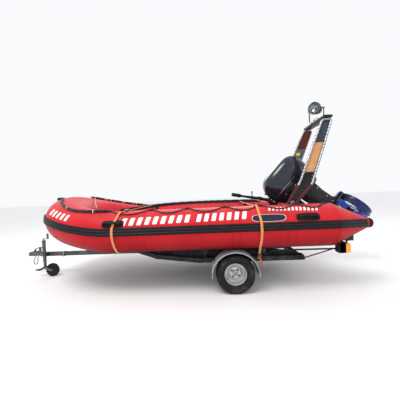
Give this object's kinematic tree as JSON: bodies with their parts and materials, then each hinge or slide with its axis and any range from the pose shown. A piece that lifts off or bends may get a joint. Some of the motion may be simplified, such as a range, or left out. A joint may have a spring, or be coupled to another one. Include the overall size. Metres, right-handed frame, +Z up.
{
  "type": "inflatable inshore rescue boat on its trailer",
  "caption": "Inflatable rescue boat with a tilted tiller outboard, a rear lighting rack and a single-axle launching trailer with a jockey wheel.",
  "frame": {"origin": "on the ground under the middle of the whole outline", "axes": "+X towards the stern, +Y to starboard, +Z up"},
  "size_m": [5.1852, 2.0172, 2.407],
  "materials": {
    "tube_red": "satin coated fabric",
    "black_rubber": "matt",
    "hull_skin": "matt coated fabric",
    "floor_board": "matt painted board",
    "transom_board": "satin painted board",
    "black_rope": "braided",
    "orange_webbing": "woven webbing",
    "rack_tube": "brushed tube",
    "rack_fabric": "padded cover in slate, orange and black",
    "rack_black": "satin",
    "lamp_black": "satin with a chrome rim",
    "lamp_white": "gloss",
    "lamp_blue": "clear lens on a white base",
    "engine_black": "castings in satin black paint",
    "cowl_navy": "gloss",
    "guard_blue": "satin moulded",
    "propeller_alloy": "cast",
    "grip_rubber": "ribbed",
    "galvanised": "dull zinc",
    "rail_dark": "weathered dark paint",
    "bunk_board": "matt black board",
    "guard_grey": "moulded",
    "tyre_rubber": "treaded",
    "wheel_steel": "silver paint",
    "stand_black": "satin",
    "lamp_amber": "ribbed lens",
    "jockey_steel": "zinc",
    "jockey_tyre": "matt"
  },
  "bodies": {
    "boat_on_trailer": {"buoyancy_tube": "tube_red", "rubbing_strake": "black_rubber", "bow_handle": "black_rubber", "stern_cap_port": "black_rubber", "stern_cap_starboard": "black_rubber", "grab_handle_port_fore": "black_rubber", "grab_handle_port_aft": "black_rubber", "grab_handle_starboard_fore": "black_rubber", "grab_handle_starboard_aft": "black_rubber", "hull_bottom": "hull_skin", "floor": "floor_board", "transom": "transom_board", "lifeline_port": "black_rope", "lifeline_starboard": "black_rope", "breakaway_cable": "black_rope", "strap_fore": "orange_webbing", "strap_aft": "orange_webbing", "rack_frame_port": "rack_tube", "rack_frame_starboard": "rack_tube", "rack_brace": "rack_tube", "rack_panel_port": "rack_fabric", "rack_panel_starboard": "rack_fabric", "rack_top_beam": "rack_black", "nav_light": "lamp_white", "blue_lamp": "lamp_blue", "clamp_bracket": "engine_black", "drawbar": "galvanised", "axle": "galvanised", "side_rail_port": "rail_dark", "side_rail_starboard": "rail_dark", "hull_board_port": "bunk_board", "hull_board_starboard": "bunk_board", "mudguard_port": "guard_grey", "mudguard_starboard": "guard_grey", "rear_stand_port": "stand_black", "rear_stand_starboard": "stand_black", "tail_lamp_port": "lamp_amber", "tail_lamp_starboard": "lamp_amber", "coupling": "jockey_steel", "jockey_outer_tube": "jockey_steel"},
    "wheel_port": {"tyre_port": "tyre_rubber", "rim_port": "wheel_steel"},
    "wheel_starboard": {"tyre_starboard": "tyre_rubber", "rim_starboard": "wheel_steel"},
    "tilt_swivel": {"swivel_bracket": "engine_black"},
    "outboard": {"steering_post": "engine_black", "lower_cowl": "engine_black", "cowl": "cowl_navy", "leg": "engine_black", "propeller_guard": "guard_blue"},
    "tiller": {"tiller_arm": "engine_black", "tiller_grip": "grip_rubber"},
    "screw": {"propeller": "propeller_alloy"},
    "searchlight_head": {"searchlight": "lamp_black"},
    "jockey_leg": {"jockey_inner_tube": "jockey_steel"},
    "jockey_caster": {"jockey_fork": "jockey_steel"},
    "jockey_roller": {"jockey_wheel": "jockey_tyre"}
  },
  "joints": [
    {"name": "wheel_port", "type": "hinge", "parent": "boat_on_trailer", "child": "wheel_port", "pos_m": [0.5224, -0.802, 0.2245], "axis": [0, 1, 0], "continuous": true},
    {"name": "wheel_starboard", "type": "hinge", "parent": "boat_on_trailer", "child": "wheel_starboard", "pos_m": [0.5224, 0.802, 0.2245], "axis": [0, 1, 0], "continuous": true},
    {"name": "motor_tilt", "type": "hinge", "parent": "boat_on_trailer", "child": "tilt_swivel", "pos_m": [1.4854, 0, 0.946], "axis": [0, -1, 0], "range_deg": [-48, 5]},
    {"name": "motor_steer", "type": "hinge", "parent": "tilt_swivel", "child": "outboard", "pos_m": [1.55231, 0, 1.02031], "axis": [-0.7431, 0, 0.6691], "range_deg": [-30, 30]},
    {"name": "tiller_fold", "type": "hinge", "parent": "outboard", "child": "tiller", "pos_m": [1.13421, 0, 1.02673], "axis": [0, 1, 0], "range_deg": [-59, 15]},
    {"name": "propeller", "type": "hinge", "parent": "outboard", "child": "screw", "pos_m": [2.32322, 0, 0.84829], "axis": [0.6691, 0, 0.7431], "continuous": true},
    {"name": "searchlight_tilt", "type": "hinge", "parent": "boat_on_trailer", "child": "searchlight_head", "pos_m": [1.8674, 0, 2.322], "axis": [-0.7071, 0.7071, 0], "range_deg": [-25, 25]},
    {"name": "jockey_lift", "type": "slide", "parent": "boat_on_trailer", "child": "jockey_leg", "axis": [0, 0, 1], "range_m": [-0.12, 0.06]},
    {"name": "jockey_swivel", "type": "hinge", "parent": "jockey_leg", "child": "jockey_caster", "pos_m": [-2.3076, -0.062, 0.15], "axis": [0, 0, 1], "continuous": true},
    {"name": "jockey_wheel", "type": "hinge", "parent": "jockey_caster", "child": "jockey_roller", "pos_m": [-2.1896, -0.062, 0.1], "axis": [0, 1, 0], "continuous": true}
  ]
}
